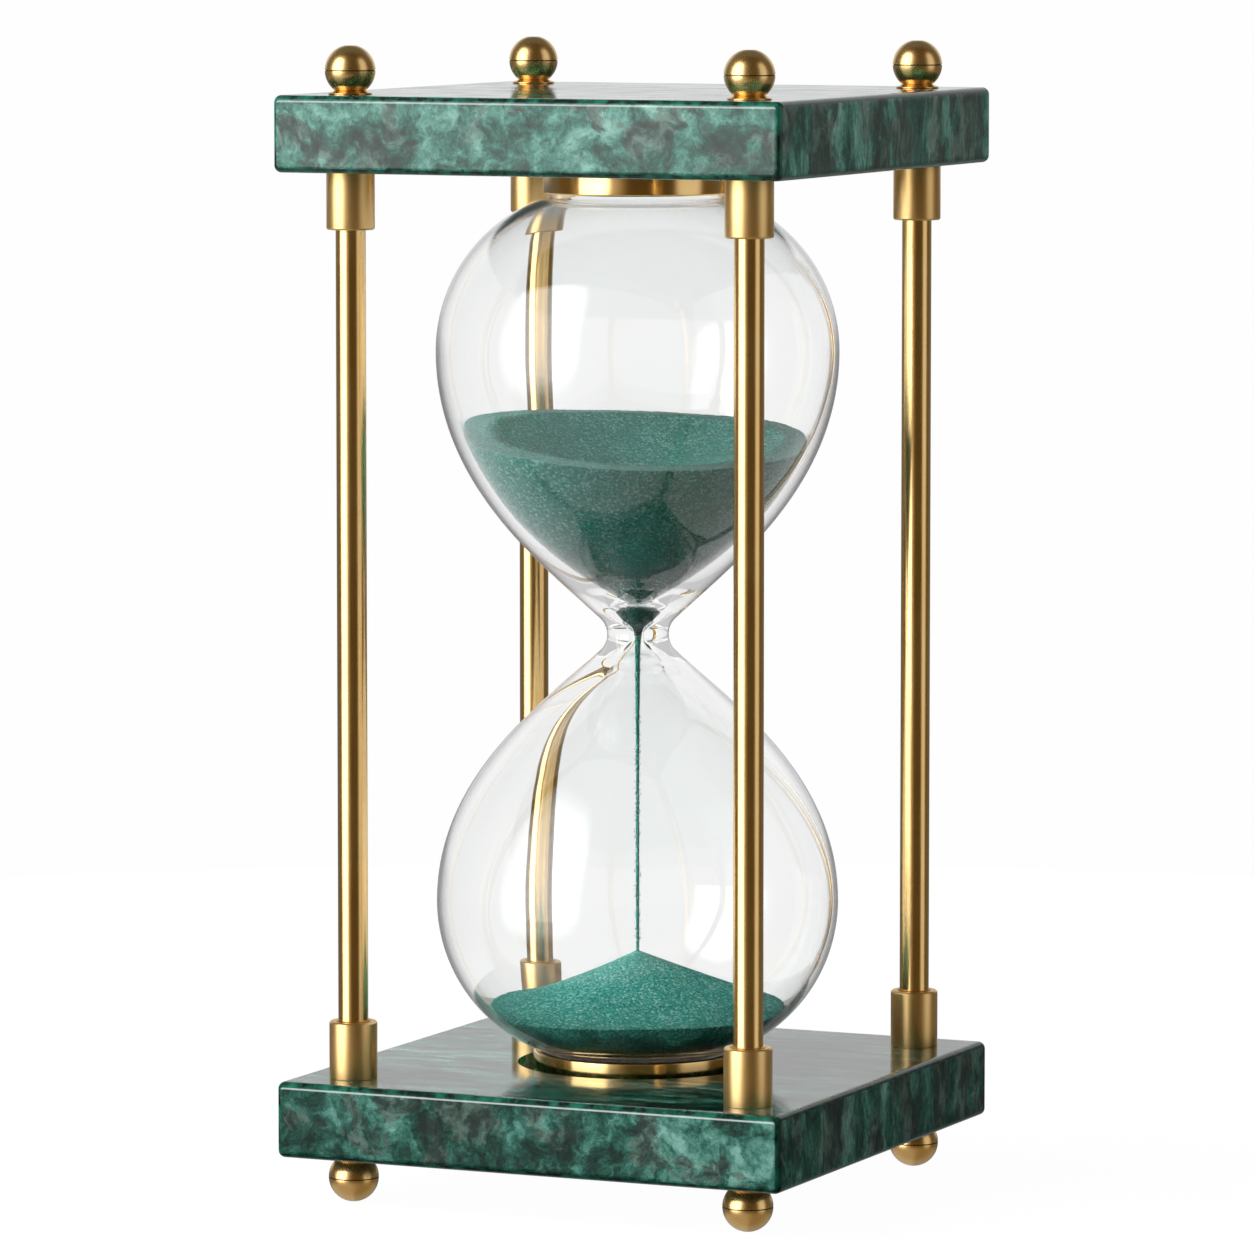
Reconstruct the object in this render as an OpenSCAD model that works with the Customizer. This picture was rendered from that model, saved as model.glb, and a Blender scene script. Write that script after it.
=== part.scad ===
// Hourglass on a marble and brass stand.
// Two square marble slabs are held apart by four brass posts. A threaded tie rod runs up the
// middle of each post, from a brass ball foot under the base to a brass ball finial on top.
// One blown glass stands between the slabs on cork pads, inside two brass rings, and holds sand.
// The origin is on the floor under the middle of the stand, +Z is up and -Y is the front.

/* [Slabs] */
// Side of the square marble slabs
slab_w = 150; // [140:1:165]
// Thickness of each marble slab
slab_t = 21; // [18:0.5:24]
// Radius of every rounded edge of the slabs
slab_edge_r = 2; // [1:0.25:3]
// Clear height between the two slabs
bay_h = 249; // [244:1:256]

/* [Posts] */
// Distance between post centres along one side
post_pitch = 118.2; // [116:0.2:121]
// Radius of the brass post tubes
post_r = 4.1; // [3.8:0.1:4.3]
// Radius of the sleeves at both ends of each post
sleeve_r = 6.6; // [6:0.1:7.5]
// Length of the sleeves
sleeve_h = 15.8; // [12:0.2:20]

/* [Balls] */
// Radius of the ball finials and ball feet
ball_r = 6.9; // [6.6:0.1:7.5]
// Radius of the collar between a ball and its slab
collar_r = 6; // [5.5:0.1:6.5]

/* [Glass] */
// Outer radius of both bulbs at their widest
belly_r = 55.8; // [54.5:0.1:57]
// Outer radius of the glass at its waist
waist_r = 8.5; // [7.5:0.1:9.5]
// Radius of the hole through the waist
throat_r = 1.2; // [1:0.1:1.6]
// Thickness of the bulbs' walls
wall_t = 2.1; // [1.8:0.1:2.4]

/* [Rings] */
// Outer radius of the ring on the base
lower_ring_r = 29; // [29:0.1:30.5]
// Outer radius of the ring under the top slab
upper_ring_r = 26; // [26:0.1:27.5]
// Height of the upper ring
upper_ring_h = 7.1; // [6.6:0.1:7.3]
// Depth that the lower ring is let into the base
recess_d = 2.7; // [2.5:0.1:3]

/* [Sand] */
// Height of the sand's rim above the waist
upper_fill = 54; // [45:0.1:60]
// Height of the pile's foot above the glass's lower end
lower_fill = 14.8; // [13:0.1:16]
// Height of the pile above its foot
pile_h = 15.4; // [14:0.1:17]

/* [Hidden] */
$fn = 96;

BRASS = "#c99b45";
STEEL = "#9a9a9c";
MARBLE = "#4f8a74";
GLASS = [0.92, 0.96, 0.95, 0.35];
SAND = "#2c8a72";
CORK = "#b08a5a";

// Corners of the stand, as signs of x and y
FRONT_LEFT = [-1, -1];
FRONT_RIGHT = [1, -1];
BACK_RIGHT = [1, 1];
BACK_LEFT = [-1, 1];
CORNERS = [FRONT_LEFT, FRONT_RIGHT, BACK_RIGHT, BACK_LEFT];

// Balls: a small ground flat to stand on, a seat against the collar, and a blind threaded hole
ball_flat = 0.2;
ball_seat = 5.5;
ball_hole_d = 8;
ball_seam_w = 0.3;
ball_seam_d = 0.25;
collar_h = 1;
collar_rim_h = 0.4;
collar_lip = 0.1;
spigot_r = 2.95;
spigot_h = 0.8;
ball_stack = ball_r - ball_flat + ball_seat + collar_h;

// M4 tie rods, and the clear holes around them
tie_r = 2;
thread_gap = 0.05;
tie_grip = 7.2;
tie_hole_r = 2.4;
tie_chamfer = 0.5;

// Heights
base_z = ball_stack;
base_top_z = base_z + slab_t;
top_z = base_top_z + bay_h;
top_top_z = top_z + slab_t;

// Posts and sleeves
post_bore_r = 2.6;
sleeve_gap = 0.6;
sleeve_floor = 3;
sleeve_chamfer = 0.4;

// Glass, from the lower end up
lower_pad_t = 3.5;
upper_pad_t = 2.2;
lower_shoulder_r = 44.6;
upper_shoulder_r = 45;
glass_z = base_top_z - recess_d + lower_pad_t;
glass_top_z = top_z - upper_pad_t;
lower_belly_z = glass_z + lower_shoulder_r;
upper_belly_drop = 50.8;
upper_belly_z = top_z - upper_belly_drop;
waist_share = 0.486;
waist_z = lower_belly_z + waist_share * (upper_belly_z - lower_belly_z);
waist_bend_r = 6.2;
waist_bend = 47;
throat_bend_r = 6;
throat_bend = 37;

// The throat's inner cone ends this far from the waist, and the funnel then leans this much
throat_reach = 9.8;
funnel_lean = 59;

glass_neck_r = 23.6;
neck_fillet_r = 2.5;
neck_end_t = 2.5;
filler_r = 5;
stopper_tail = 2.5;
stopper_taper = [0.8, 1];

// How far each flank's curve holds its end directions, as shares of the flank's height
outer_pull = [0.47, 0.275];
inner_pull = [0.27, 0.48];

// Straight steps along each stretch of the glass's outline
shoulder_steps = 16;
flank_steps = 14;
bend_steps = 10;
fillet_steps = 5;

// Rings and pads
ring_wall = 2;
upper_ring_wall = 1.8;
ring_chamfer = 0.8;
lower_ring_show = 3.7;
recess_gap = 4.4;
pad_gap = 0.4;

// Sand
sand_gap = 0.15;
crater_d = 11;
crater_flat_r = 4;
crater_inset = 14;
sand_lean = [4.3, 2];
lean_turn = 24;
stream_top_r = 0.95;
stream_low_r = 0.6;

function reversed(p) = [for (i = [len(p) - 1:-1:0]) p[i]];

// A list without its first point
function trimmed(p) = [for (i = [1:len(p) - 1]) p[i]];

// Points along an arc from angle a0 to angle a1
function arc(c, r, a0, a1, n) =
    [for (i = [0:n]) let (a = a0 + (a1 - a0) * i / n) [c[0] + r * cos(a), c[1] + r * sin(a)]];

// Points along a cubic curve, without its two ends
function flank(p, n) =
    [for (i = [1:n - 1]) let (t = i / n, s = 1 - t)
        s * s * s * p[0] + 3 * s * s * t * p[1] + 3 * s * t * t * p[2] + t * t * t * p[3]];

// Where a wall's straight run from its bend at the waist ends, reach away from the waist.
// side is 1 above the waist and -1 below it.
function run_end(r, bend_r, bend, reach, side) =
    let (run = reach - bend_r * sin(bend))
    [r + bend_r * (1 - cos(bend)) + run * tan(bend), waist_z + side * reach];

// The curve from a belly, r wide at height z, to a run's end, where it leans by lean
function flank_curve(r, z, end, lean, side, pull) =
    let (h = abs(z - waist_z))
    [[r, z], [r, z - side * pull[0] * h],
     end + pull[1] * h * [sin(lean), side * cos(lean)], end];

// One wall from the lower end to the top of the neck. in is how far it lies inside the outer
// surface at the bulbs: 0 for the outer wall, wall_t for the inner wall, more for the sand.
function wall(in, neck_top) =
    let (
        r = belly_r - in,
        low_r = lower_shoulder_r - in,
        high_r = upper_shoulder_r - in,
        low_c = [belly_r - lower_shoulder_r, lower_belly_z],
        high_c = [belly_r - upper_shoulder_r, upper_belly_z],
        mid_r = in > 0 ? throat_r + wall_t - in : waist_r,
        bend_r = in > 0 ? throat_bend_r - wall_t + in : waist_bend_r,
        bend = in > 0 ? throat_bend : waist_bend,
        lean = in > 0 ? funnel_lean : waist_bend,
        pull = in > 0 ? inner_pull : outer_pull,
        reach = in > 0 ? throat_reach : waist_bend_r * sin(waist_bend),
        low_end = run_end(mid_r, bend_r, bend, reach, -1),
        high_end = run_end(mid_r, bend_r, bend, reach, 1),
        fillet_dr = glass_neck_r + neck_fillet_r - high_c[0],
        fillet_dz = sqrt(pow(upper_shoulder_r + neck_fillet_r, 2) - fillet_dr * fillet_dr),
        fillet_a = atan2(fillet_dz, fillet_dr),
        fillet_c = high_c + [fillet_dr, fillet_dz]
    )
    concat(
        [[0, lower_belly_z - low_r]],
        arc(low_c, low_r, -90, 0, shoulder_steps),
        flank(flank_curve(r, lower_belly_z, low_end, lean, -1, pull), flank_steps),
        in > 0 ? [low_end] : [],
        arc([mid_r + bend_r, waist_z], bend_r, 180 + bend, 180 - bend, bend_steps),
        in > 0 ? [high_end] : [],
        reversed(flank(flank_curve(r, upper_belly_z, high_end, lean, 1, pull), flank_steps)),
        arc(high_c, high_r, 0, fillet_a, shoulder_steps),
        trimmed(arc(fillet_c, neck_fillet_r + in, 180 + fillet_a, 180, fillet_steps)),
        [[glass_neck_r - in, neck_top]]
    );

// The hollow of the glass, drawn in by gap, as the sand sees it
module hollow(gap) {
    polygon(concat(wall(wall_t + gap, glass_top_z - neck_end_t), [[0, glass_top_z - neck_end_t]]));
}

module at_corner(c) {
    translate([c[0] * post_pitch / 2, c[1] * post_pitch / 2, 0]) children();
}

// A slab with every edge rounded, lying on z = 0
module rounded_slab() {
    w = slab_w - 2 * slab_edge_r;
    h = slab_t - 2 * slab_edge_r;
    mid_z = slab_t / 2;
    translate([0, 0, mid_z]) {
        cube([w, w, slab_t], center = true);
        cube([slab_w, w, h], center = true);
        cube([w, slab_w, h], center = true);
        for (x = [-w / 2, w / 2], y = [-w / 2, w / 2]) {
            translate([x, y, 0]) cylinder(r = slab_edge_r, h = h, center = true);
            for (z = [-h / 2, h / 2]) translate([x, y, z]) sphere(r = slab_edge_r);
        }
        for (s = [-w / 2, w / 2], z = [-h / 2, h / 2]) {
            translate([s, 0, z]) rotate([90, 0, 0]) cylinder(r = slab_edge_r, h = w, center = true);
            translate([0, s, z]) rotate([0, 90, 0]) cylinder(r = slab_edge_r, h = w, center = true);
        }
    }
}

// A slab drilled for the four tie rods
module drilled_slab() {
    difference() {
        rounded_slab();
        for (c = CORNERS) at_corner(c) translate([0, 0, -1]) cylinder(r = tie_hole_r, h = slab_t + 2);
    }
}

module base_plate() {
    color(MARBLE) difference() {
        translate([0, 0, base_z]) drilled_slab();
        translate([0, 0, base_top_z - recess_d])
            cylinder(r = lower_ring_r + recess_gap, h = recess_d + 1);
    }
}

module top_plate() {
    color(MARBLE) translate([0, 0, top_z]) drilled_slab();
}

// A brass tube between the floors of its two sleeves
module post(c) {
    color(BRASS) at_corner(c) translate([0, 0, base_top_z + sleeve_floor]) difference() {
        cylinder(r = post_r, h = bay_h - 2 * sleeve_floor);
        translate([0, 0, -1]) cylinder(r = post_bore_r, h = bay_h);
    }
}

// A threaded rod gripped by the ball foot below and the ball finial above
module tie_rod(c) {
    z = base_z - collar_h - tie_grip;
    h = top_top_z - base_z + 2 * (collar_h + tie_grip);
    r = tie_r - tie_chamfer;
    color(STEEL) at_corner(c) translate([0, 0, z]) rotate_extrude()
        polygon([[0, 0], [r, 0], [tie_r, tie_chamfer], [tie_r, h - tie_chamfer], [r, h], [0, h]]);
}

// A cup with its floor on z = 0 and its mouth up, eased at the rim inside and out
module sleeve() {
    in_r = post_r + sleeve_gap;
    e = sleeve_chamfer;
    rotate_extrude() polygon([
        [tie_hole_r, 0], [sleeve_r, 0], [sleeve_r, sleeve_h - e], [sleeve_r - e, sleeve_h],
        [in_r + e, sleeve_h], [in_r, sleeve_h - e], [in_r, sleeve_floor], [tie_hole_r, sleeve_floor]
    ]);
}

module lower_sleeve(c) {
    color(BRASS) at_corner(c) translate([0, 0, base_top_z]) sleeve();
}

module upper_sleeve(c) {
    color(BRASS) at_corner(c) translate([0, 0, top_z]) mirror([0, 0, 1]) sleeve();
}

// A ball nut: its collar's seat is on z = 0 and its ground flat is up
module ball() {
    centre_z = ball_seat;
    difference() {
        union() {
            intersection() {
                translate([0, 0, centre_z]) sphere(r = ball_r);
                cylinder(r = ball_r + 1, h = centre_z + ball_r - ball_flat);
            }
            translate([0, 0, -spigot_h]) cylinder(r = spigot_r, h = spigot_h + 1);
        }
        translate([0, 0, -spigot_h - 1])
            cylinder(r = tie_r + thread_gap, h = ball_hole_d + spigot_h + 1);
        translate([0, 0, centre_z - ball_seam_w / 2]) difference() {
            cylinder(r = ball_r + 1, h = ball_seam_w);
            translate([0, 0, -1]) cylinder(r = ball_r - ball_seam_d, h = ball_seam_w + 2);
        }
    }
}

// A conical collar that turns freely on a ball's spigot, standing on z = 0
module collar() {
    seat_r = sqrt(ball_r * ball_r - ball_seat * ball_seat) + collar_lip;
    in_r = spigot_r + thread_gap;
    rotate_extrude() polygon([
        [in_r, 0], [collar_r, 0], [collar_r, collar_rim_h], [seat_r, collar_h], [in_r, collar_h]
    ]);
}

module finial_ball(c) {
    color(BRASS) at_corner(c) translate([0, 0, top_top_z + collar_h]) ball();
}

module finial_collar(c) {
    color(BRASS) at_corner(c) translate([0, 0, top_top_z]) collar();
}

module foot_ball(c) {
    color(BRASS) at_corner(c) translate([0, 0, base_z - collar_h]) mirror([0, 0, 1]) ball();
}

module foot_collars() {
    color(BRASS) for (c = CORNERS)
        at_corner(c) translate([0, 0, base_z]) mirror([0, 0, 1]) collar();
}

// A ring standing on z = 0, eased around its upper edges
module ring(r, w, h) {
    e = ring_chamfer;
    rotate_extrude() polygon([
        [r - w, 0], [r, 0], [r, h - e / 2], [r - e / 2, h], [r - w + e, h], [r - w, h - e]
    ]);
}

module lower_ring() {
    color(BRASS) translate([0, 0, base_top_z - recess_d])
        ring(lower_ring_r, ring_wall, recess_d + lower_ring_show);
}

module upper_ring() {
    color(BRASS) translate([0, 0, top_z]) mirror([0, 0, 1])
        ring(upper_ring_r, upper_ring_wall, upper_ring_h);
}

module lower_pad() {
    color(CORK) translate([0, 0, base_top_z - recess_d])
        cylinder(r = lower_ring_r - ring_wall - pad_gap, h = lower_pad_t);
}

module upper_pad() {
    color(CORK) translate([0, 0, glass_top_z])
        cylinder(r = upper_ring_r - upper_ring_wall - pad_gap, h = upper_pad_t);
}

// One blown piece: two bulbs joined by a thick waist, open only at the filler hole on top
module glass() {
    ceiling_z = glass_top_z - neck_end_t;
    color(GLASS) rotate_extrude() polygon(concat(
        wall(0, glass_top_z),
        [[filler_r, glass_top_z], [filler_r, ceiling_z]],
        reversed(wall(wall_t, ceiling_z))
    ));
}

// A rubber stopper pushed into the filler hole
module stopper() {
    r = filler_r - thread_gap;
    h = neck_end_t + stopper_tail;
    color(CORK) translate([0, 0, glass_top_z - h]) rotate_extrude()
        polygon([[0, 0], [r - stopper_taper[0], 0], [r, stopper_taper[1]], [r, h], [0, h]]);
}

// Sand above the waist, with a crater and a rim that leans to the front
module sand_upper() {
    rim_z = waist_z + upper_fill;
    color(SAND) difference() {
        rotate_extrude() intersection() {
            hollow(sand_gap);
            translate([0, waist_z]) square([belly_r, upper_fill + crater_d]);
        }
        translate([0, 0, rim_z]) rotate([0, 0, lean_turn]) rotate([sand_lean[0], sand_lean[1], 0])
            rotate_extrude() polygon([
                [0, -crater_d], [crater_flat_r, -crater_d], [belly_r - wall_t - crater_inset, 0],
                [2 * belly_r, 0], [2 * belly_r, belly_r], [0, belly_r]
            ]);
    }
}

// The falling sand, from the waist to the top of the pile
module sand_stream() {
    low_z = glass_z + lower_fill + pile_h;
    color(SAND) translate([0, 0, low_z])
        cylinder(r1 = stream_low_r, r2 = stream_top_r, h = waist_z - low_z);
}

// The pile below, cut flat where the stream lands. Its slope meets the wall at the foot.
module sand_lower() {
    foot_z = glass_z + lower_fill;
    peak_z = foot_z + pile_h;
    wall_r = lower_shoulder_r - wall_t - sand_gap;
    drop = lower_belly_z - foot_z;
    foot_r = belly_r - lower_shoulder_r + sqrt(wall_r * wall_r - drop * drop);
    edge_z = foot_z - pile_h * (belly_r - foot_r) / (foot_r - stream_low_r);
    color(SAND) rotate_extrude() intersection() {
        hollow(sand_gap);
        polygon([
            [0, glass_z], [belly_r, glass_z], [belly_r, edge_z], [stream_low_r, peak_z], [0, peak_z]
        ]);
    }
}

base_plate();
top_plate();
post(FRONT_LEFT);  // post_front_left
post(FRONT_RIGHT);  // post_front_right
post(BACK_RIGHT);  // post_back_right
post(BACK_LEFT);  // post_back_left
tie_rod(FRONT_LEFT);  // tie_rod_front_left
tie_rod(FRONT_RIGHT);  // tie_rod_front_right
tie_rod(BACK_RIGHT);  // tie_rod_back_right
tie_rod(BACK_LEFT);  // tie_rod_back_left
lower_sleeve(FRONT_LEFT);  // lower_sleeve_front_left
lower_sleeve(FRONT_RIGHT);  // lower_sleeve_front_right
lower_sleeve(BACK_RIGHT);  // lower_sleeve_back_right
lower_sleeve(BACK_LEFT);  // lower_sleeve_back_left
upper_sleeve(FRONT_LEFT);  // upper_sleeve_front_left
upper_sleeve(FRONT_RIGHT);  // upper_sleeve_front_right
upper_sleeve(BACK_RIGHT);  // upper_sleeve_back_right
upper_sleeve(BACK_LEFT);  // upper_sleeve_back_left
finial_ball(FRONT_LEFT);  // finial_ball_front_left
finial_ball(FRONT_RIGHT);  // finial_ball_front_right
finial_ball(BACK_RIGHT);  // finial_ball_back_right
finial_ball(BACK_LEFT);  // finial_ball_back_left
finial_collar(FRONT_LEFT);  // finial_collar_front_left
finial_collar(FRONT_RIGHT);  // finial_collar_front_right
finial_collar(BACK_RIGHT);  // finial_collar_back_right
finial_collar(BACK_LEFT);  // finial_collar_back_left
foot_ball(FRONT_LEFT);  // foot_ball_front_left
foot_ball(FRONT_RIGHT);  // foot_ball_front_right
foot_ball(BACK_RIGHT);  // foot_ball_back_right
foot_ball(BACK_LEFT);  // foot_ball_back_left
foot_collars();
lower_ring();
upper_ring();
lower_pad();
upper_pad();
glass();
stopper();
sand_upper();
sand_stream();
sand_lower();
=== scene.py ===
import math

import bpy
import bmesh
import numpy as np
from mathutils import Euler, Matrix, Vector


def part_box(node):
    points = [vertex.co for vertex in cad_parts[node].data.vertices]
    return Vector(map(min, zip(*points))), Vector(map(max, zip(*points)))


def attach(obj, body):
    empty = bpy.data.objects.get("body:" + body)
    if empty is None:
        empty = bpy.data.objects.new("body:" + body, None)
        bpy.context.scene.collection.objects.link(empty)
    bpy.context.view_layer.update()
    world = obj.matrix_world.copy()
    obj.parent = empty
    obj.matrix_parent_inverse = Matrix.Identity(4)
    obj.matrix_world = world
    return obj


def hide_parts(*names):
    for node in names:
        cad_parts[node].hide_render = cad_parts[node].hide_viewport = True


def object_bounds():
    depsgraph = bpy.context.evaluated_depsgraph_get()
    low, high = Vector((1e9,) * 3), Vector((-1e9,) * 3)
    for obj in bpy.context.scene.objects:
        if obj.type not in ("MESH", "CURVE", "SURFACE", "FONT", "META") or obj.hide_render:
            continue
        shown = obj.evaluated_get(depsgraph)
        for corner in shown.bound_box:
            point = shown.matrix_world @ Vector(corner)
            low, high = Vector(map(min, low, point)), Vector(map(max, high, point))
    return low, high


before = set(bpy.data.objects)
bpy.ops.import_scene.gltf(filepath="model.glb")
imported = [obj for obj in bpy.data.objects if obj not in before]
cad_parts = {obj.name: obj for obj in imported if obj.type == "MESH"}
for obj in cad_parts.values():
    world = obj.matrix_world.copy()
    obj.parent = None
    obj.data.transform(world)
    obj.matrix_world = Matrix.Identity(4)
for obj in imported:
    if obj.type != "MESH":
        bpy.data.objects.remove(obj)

MM = 0.001
CORNERS = {
    "front_left": (-1, -1),
    "front_right": (1, -1),
    "back_right": (1, 1),
    "back_left": (-1, 1),
}
CAD_BOX = [list(c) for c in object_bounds()]

# ---------------------------------------------------------------- heights and radii from the frame

GLASS_LOW, GLASS_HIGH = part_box("glass")
TOP_SLAB_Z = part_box("top_plate")[0].z
WAIST_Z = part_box("sand_stream")[1].z
BELLY_R = GLASS_HIGH.x
POST_PITCH = sum(c.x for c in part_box("post_front_right")) - sum(c.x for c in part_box("post_front_left"))
POST_AT = POST_PITCH / 4


def radius(node):
    """Half the width of a round node."""
    low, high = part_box(node)
    return (high.x - low.x) / 2


# Sizes that the frame's boxes don't show, as the CAD model has them
WALL = 2.1 * MM
LOWER_SHOULDER_R = 44.6 * MM
UPPER_SHOULDER_R = 45 * MM
UPPER_BELLY_DROP = 50.8 * MM
WAIST_R = 8.5 * MM
WAIST_BEND_R = 6.2 * MM
WAIST_BEND = math.radians(47)
THROAT_R = 1.2 * MM
THROAT_BEND_R = 6 * MM
THROAT_BEND = math.radians(37)
THROAT_REACH = 9.8 * MM
FUNNEL_LEAN = math.radians(59)
NECK_R = 23.6 * MM
NECK_FILLET_R = 2.5 * MM
NECK_END = 2.5 * MM
FILLER_R = 5 * MM
# How far the flanks' curve handles reach at the belly and at the waist, as shares of their height
OUTER_PULL = (0.47, 0.275)
INNER_PULL = (0.27, 0.48)
LOWER_BELLY_Z = GLASS_LOW.z + LOWER_SHOULDER_R
UPPER_BELLY_Z = TOP_SLAB_Z - UPPER_BELLY_DROP
SAND_GAP = 0.15 * MM
TIE_HOLE_R = 2.4 * MM
POST_BORE_R = 2.6 * MM

# ---------------------------------------------------------------- shader nodes


def add(tree, kind, inputs=None, **settings):
    """Adds a shader node. A value in inputs is a number, a colour or another node's output."""
    made = tree.nodes.new(kind)
    for key, value in settings.items():
        setattr(made, key, value)
    for key, value in (inputs or {}).items():
        if isinstance(value, bpy.types.NodeSocket):
            tree.links.new(value, made.inputs[key])
        else:
            made.inputs[key].default_value = value
    return made


def calc(tree, operation, a, b=0.0):
    """One Math node's result."""
    return add(tree, "ShaderNodeMath", {0: a, 1: b}, operation=operation).outputs[0]


def step(tree, value, low, high, to_low=0.0, to_high=1.0):
    """Goes smoothly from to_low to to_high as value goes from low to high."""
    made = add(
        tree,
        "ShaderNodeMapRange",
        {"Value": value, "From Min": low, "From Max": high, "To Min": to_low, "To Max": to_high},
        interpolation_type="SMOOTHSTEP",
    )
    return made.outputs["Result"]


def mix_value(tree, factor, a, b):
    """A number that goes from a to b as factor goes from 0 to 1."""
    return calc(tree, "ADD", calc(tree, "MULTIPLY", a, calc(tree, "SUBTRACT", 1.0, factor)),
                calc(tree, "MULTIPLY", b, factor))


def mix(tree, factor, a, b, blend="MIX"):
    """One Mix Color node's result."""
    made = tree.nodes.new("ShaderNodeMix")
    made.data_type = "RGBA"
    made.blend_type = blend
    for socket, value in ((made.inputs[0], factor), (made.inputs[6], a), (made.inputs[7], b)):
        if isinstance(value, bpy.types.NodeSocket):
            tree.links.new(value, socket)
        else:
            socket.default_value = value
    return made.outputs[2]


def ramp(tree, factor, stops):
    """A colour ramp through stops of (place, colour)."""
    made = add(tree, "ShaderNodeValToRGB", {0: factor})
    points = made.color_ramp.elements
    while len(points) < len(stops):
        points.new(0.5)
    for point, (place, colour) in zip(points, stops):
        point.position = place
        point.color = (*colour, 1)
    return made.outputs[0]


def new_look(name):
    """An empty material with its Principled shader."""
    look = bpy.data.materials.new(name)
    look.use_nodes = True
    return look, look.node_tree, look.node_tree.nodes["Principled BSDF"]


# ---------------------------------------------------------------- camera, floor and light

AZIMUTH = math.radians(24.25)
ELEVATION = math.radians(5.57)
DISTANCE = 2.1815
LENS = 225.8
AIM_HEIGHT = 0.4909 * CAD_BOX[1][2]
AIM_SIDE = -2.93 * MM


def make_camera():
    """A long lens from the front right, a little above the middle."""
    right = Vector((math.cos(AZIMUTH), math.sin(AZIMUTH), 0))
    back = Vector((
        math.sin(AZIMUTH) * math.cos(ELEVATION),
        -math.cos(AZIMUTH) * math.cos(ELEVATION),
        math.sin(ELEVATION),
    ))
    data = bpy.data.cameras.new("camera")
    data.lens = LENS
    data.sensor_width = 36
    data.clip_start = 0.05
    data.clip_end = 200
    camera = bpy.data.objects.new("camera", data)
    camera.location = Vector((0, 0, AIM_HEIGHT)) + right * AIM_SIDE + back * DISTANCE
    camera.rotation_mode = "QUATERNION"
    camera.rotation_quaternion = (-back).to_track_quat("-Z", "Y")
    bpy.context.scene.collection.objects.link(camera)
    bpy.context.scene.camera = camera


def softbox(tree, across, up, centre, half, strength, edge):
    """A soft-edged light with rounded corners on the dome, placed by its angles in degrees."""
    x = calc(tree, "DIVIDE", calc(tree, "SUBTRACT", across, math.radians(centre[0])), math.radians(half[0]))
    y = calc(tree, "DIVIDE", calc(tree, "SUBTRACT", up, math.radians(centre[1])), math.radians(half[1]))
    fourth = calc(tree, "ADD", calc(tree, "POWER", calc(tree, "ABSOLUTE", x), 4.0),
                  calc(tree, "POWER", calc(tree, "ABSOLUTE", y), 4.0))
    reach = calc(tree, "POWER", fourth, 0.25)
    return step(tree, reach, 1 - edge, 1 + edge, strength, 0.0)


# Brightness of the backdrop as the camera sees it, and through clear glass
BACKDROP = 0.99
THROUGH = 0.95
# Brightness of the dark room and the table, each at its two sides, and of the wall behind
ROOM = (0.09, 0.15)
TABLE = (0.38, 0.2)
BACK_WALL = 0.68
# Share of the mirrored lights that lights rough surfaces, beside the key lights
FILL = 0.5
WARM = (1.0, 0.69, 0.27, 1)
# Lights: centre (across, up) and half size in degrees, strength, and softness of the edge
MIRRORED_LIGHTS = {
    "left": ((-60, 17), (25, 33), 3.5, 0.16),
    "left spill": ((-40, 15), (20, 33), 0.5, 0.6),
    "right": ((66, 14), (18, 33), 0.72, 0.25),
}
HIGH_KEY = ((-82, 38), (24, 20), 9.5, 0.3)
LOW_KEY = ((-98, 0), (20, 18), 4.0, 0.3)


def fade(tree, angle, low, high, to_low=0.0, to_high=1.0):
    """Goes smoothly from to_low to to_high as an angle goes from low to high degrees."""
    return step(tree, angle, math.radians(low), math.radians(high), to_low, to_high)


def dome_angles(tree):
    """A direction's angle from the camera's side of the dome, right positive, and its height."""
    way = add(tree, "ShaderNodeSeparateXYZ", {0: add(tree, "ShaderNodeTexCoord").outputs["Generated"]})
    x, y, z = way.outputs
    sin_a, cos_a = math.sin(AZIMUTH), math.cos(AZIMUTH)
    side = calc(tree, "ADD", calc(tree, "MULTIPLY", x, cos_a), calc(tree, "MULTIPLY", y, sin_a))
    toward = calc(tree, "SUBTRACT", calc(tree, "MULTIPLY", x, sin_a), calc(tree, "MULTIPLY", y, cos_a))
    return calc(tree, "ARCTAN2", side, toward), calc(tree, "ARCSINE", z)


def mirrored_dome(tree, across, up, away):
    """What mirrors see: soft lights in a dark room, a pale wall behind and a grey table."""
    total = fade(tree, away, 60, 120, *ROOM)
    behind = fade(tree, away, 126, 150)
    low_sky = fade(tree, up, 42, 16, 0.0, BACK_WALL)
    low_sky = calc(tree, "MULTIPLY", low_sky, fade(tree, up, -4, 2))
    total = calc(tree, "ADD", total, calc(tree, "MULTIPLY", behind, low_sky))
    for light in MIRRORED_LIGHTS.values():
        total = calc(tree, "ADD", total, softbox(tree, across, up, *light))
    table = calc(tree, "MULTIPLY", fade(tree, across, -20, 35, *TABLE), fade(tree, up, -13, -28))
    return calc(tree, "ADD", total, table)


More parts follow.
